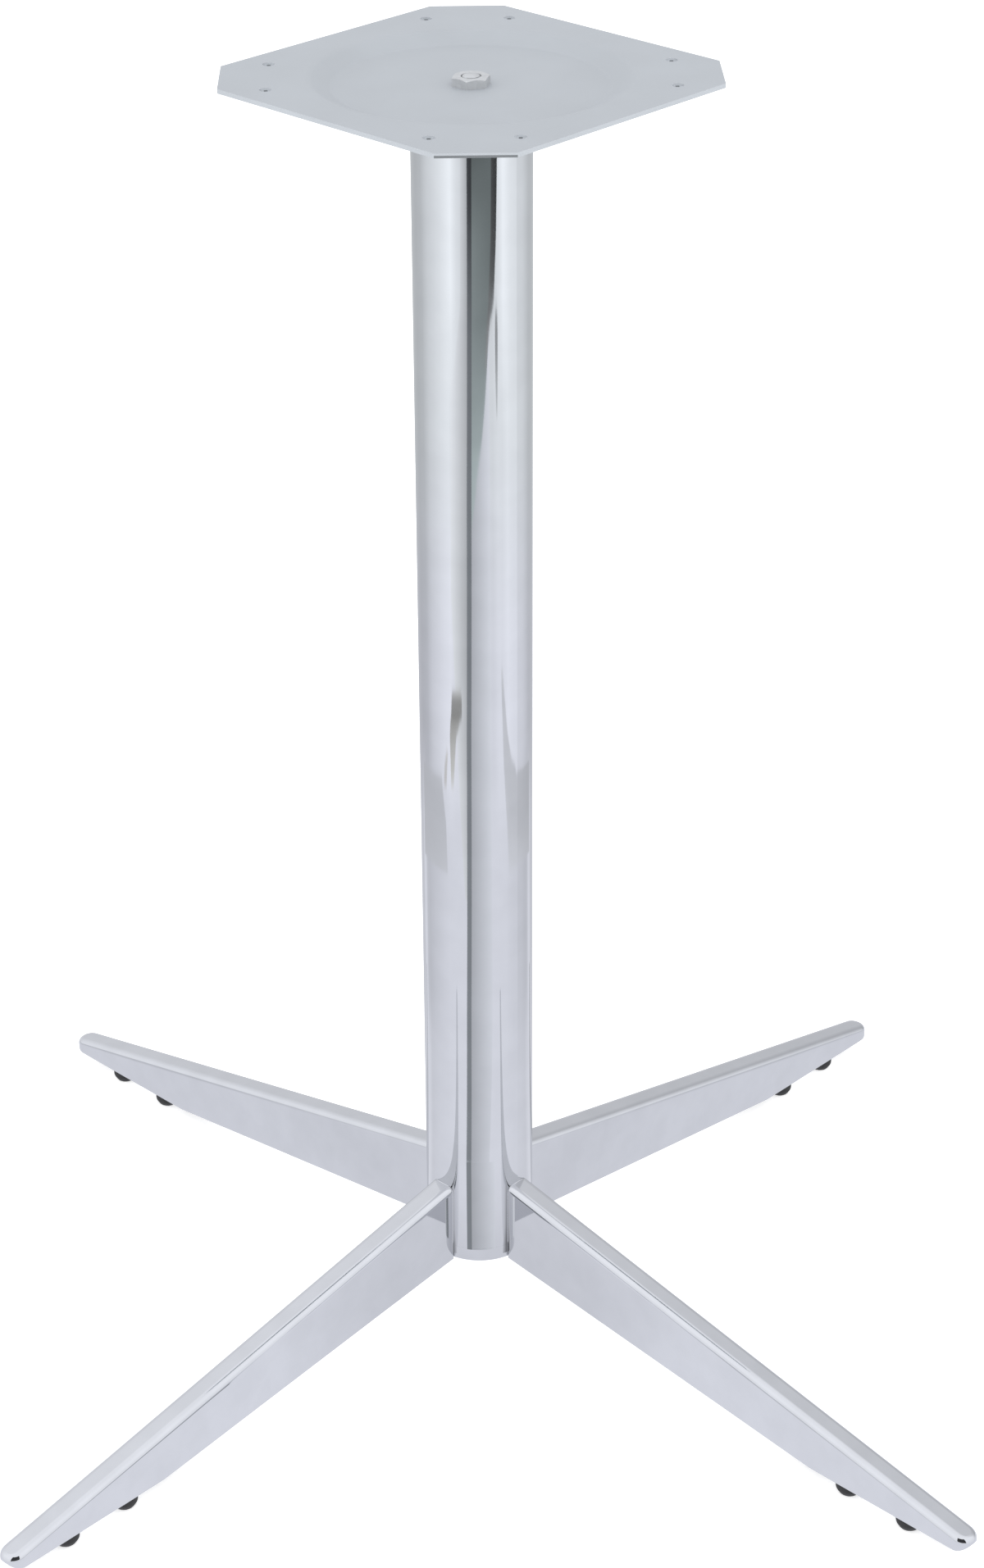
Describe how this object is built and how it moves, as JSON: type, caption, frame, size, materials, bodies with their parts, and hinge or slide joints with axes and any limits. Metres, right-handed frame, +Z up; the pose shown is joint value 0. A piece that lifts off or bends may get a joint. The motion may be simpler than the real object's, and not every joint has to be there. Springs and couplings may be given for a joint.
{
  "type": "table base",
  "caption": "Pedestal table base: a round chromed column on slim tapered legs in a cross, with rubber pads below and a square pressed plate with cut corners on top.",
  "frame": {"origin": "on the floor, below the axis of the column", "axes": "+Z up along the column; +X and +Y along opposite pairs of legs, square to the plate's sides"},
  "size_m": [0.712, 0.712, 0.72],
  "materials": {
    "chrome_plating": "polished",
    "plate_coating": "matte",
    "zinc_plated_steel": "satin",
    "pad_rubber": "matte"
  },
  "bodies": {
    "root": {"top_plate": "plate_coating", "locating_disc": "zinc_plated_steel", "column_tube": "chrome_plating", "foot_disc": "chrome_plating", "tie_rod": "zinc_plated_steel", "top_nut": "zinc_plated_steel", "lower_washer": "zinc_plated_steel", "lower_nut": "zinc_plated_steel", "leg_right": "chrome_plating", "foot_strip_right": "zinc_plated_steel", "pad_right_outer": "pad_rubber", "pad_right_inner": "pad_rubber", "leg_back": "chrome_plating", "foot_strip_back": "zinc_plated_steel", "pad_back_outer": "pad_rubber", "pad_back_inner": "pad_rubber", "leg_left": "chrome_plating", "foot_strip_left": "zinc_plated_steel", "pad_left_outer": "pad_rubber", "pad_left_inner": "pad_rubber", "leg_front": "chrome_plating", "foot_strip_front": "zinc_plated_steel", "pad_front_outer": "pad_rubber", "pad_front_inner": "pad_rubber"}
  },
  "joints": []
}
